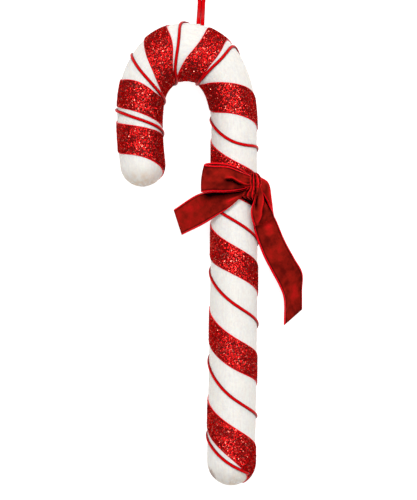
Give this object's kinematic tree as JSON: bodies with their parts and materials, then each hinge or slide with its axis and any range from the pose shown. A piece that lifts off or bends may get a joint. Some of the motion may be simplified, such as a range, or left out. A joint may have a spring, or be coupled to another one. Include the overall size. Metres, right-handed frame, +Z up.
{
  "type": "candy cane ornament",
  "caption": "Hanging foam candy cane wound with a wide glitter ribbon and a thin satin cord, with a velvet bow on the shaft and a ribbon hanger at the crown.",
  "frame": {"origin": "on the table, under the middle of the box round the ornament without its hanger", "axes": "+Y from the foot towards the crown, +Z up from the table through the bow, +X from the hook's tip towards the shaft"},
  "size_m": [0.1261, 0.3492, 0.0432],
  "materials": {
    "frosted_foam": "foam with a fine frosted coat",
    "red_glitter": "coarse glitter on ribbon",
    "red_satin": "satin",
    "red_velvet": "velvet"
  },
  "bodies": {
    "root": {"cane_body": "frosted_foam", "glitter_stripe": "red_glitter", "satin_cord": "red_satin", "bow_knot": "red_velvet", "bow_tie_band": "red_velvet", "bow_loop_left": "red_velvet", "bow_loop_right": "red_velvet", "bow_tail_left": "red_velvet", "bow_tail_right": "red_velvet", "hanger_loop": "red_satin"}
  },
  "joints": []
}
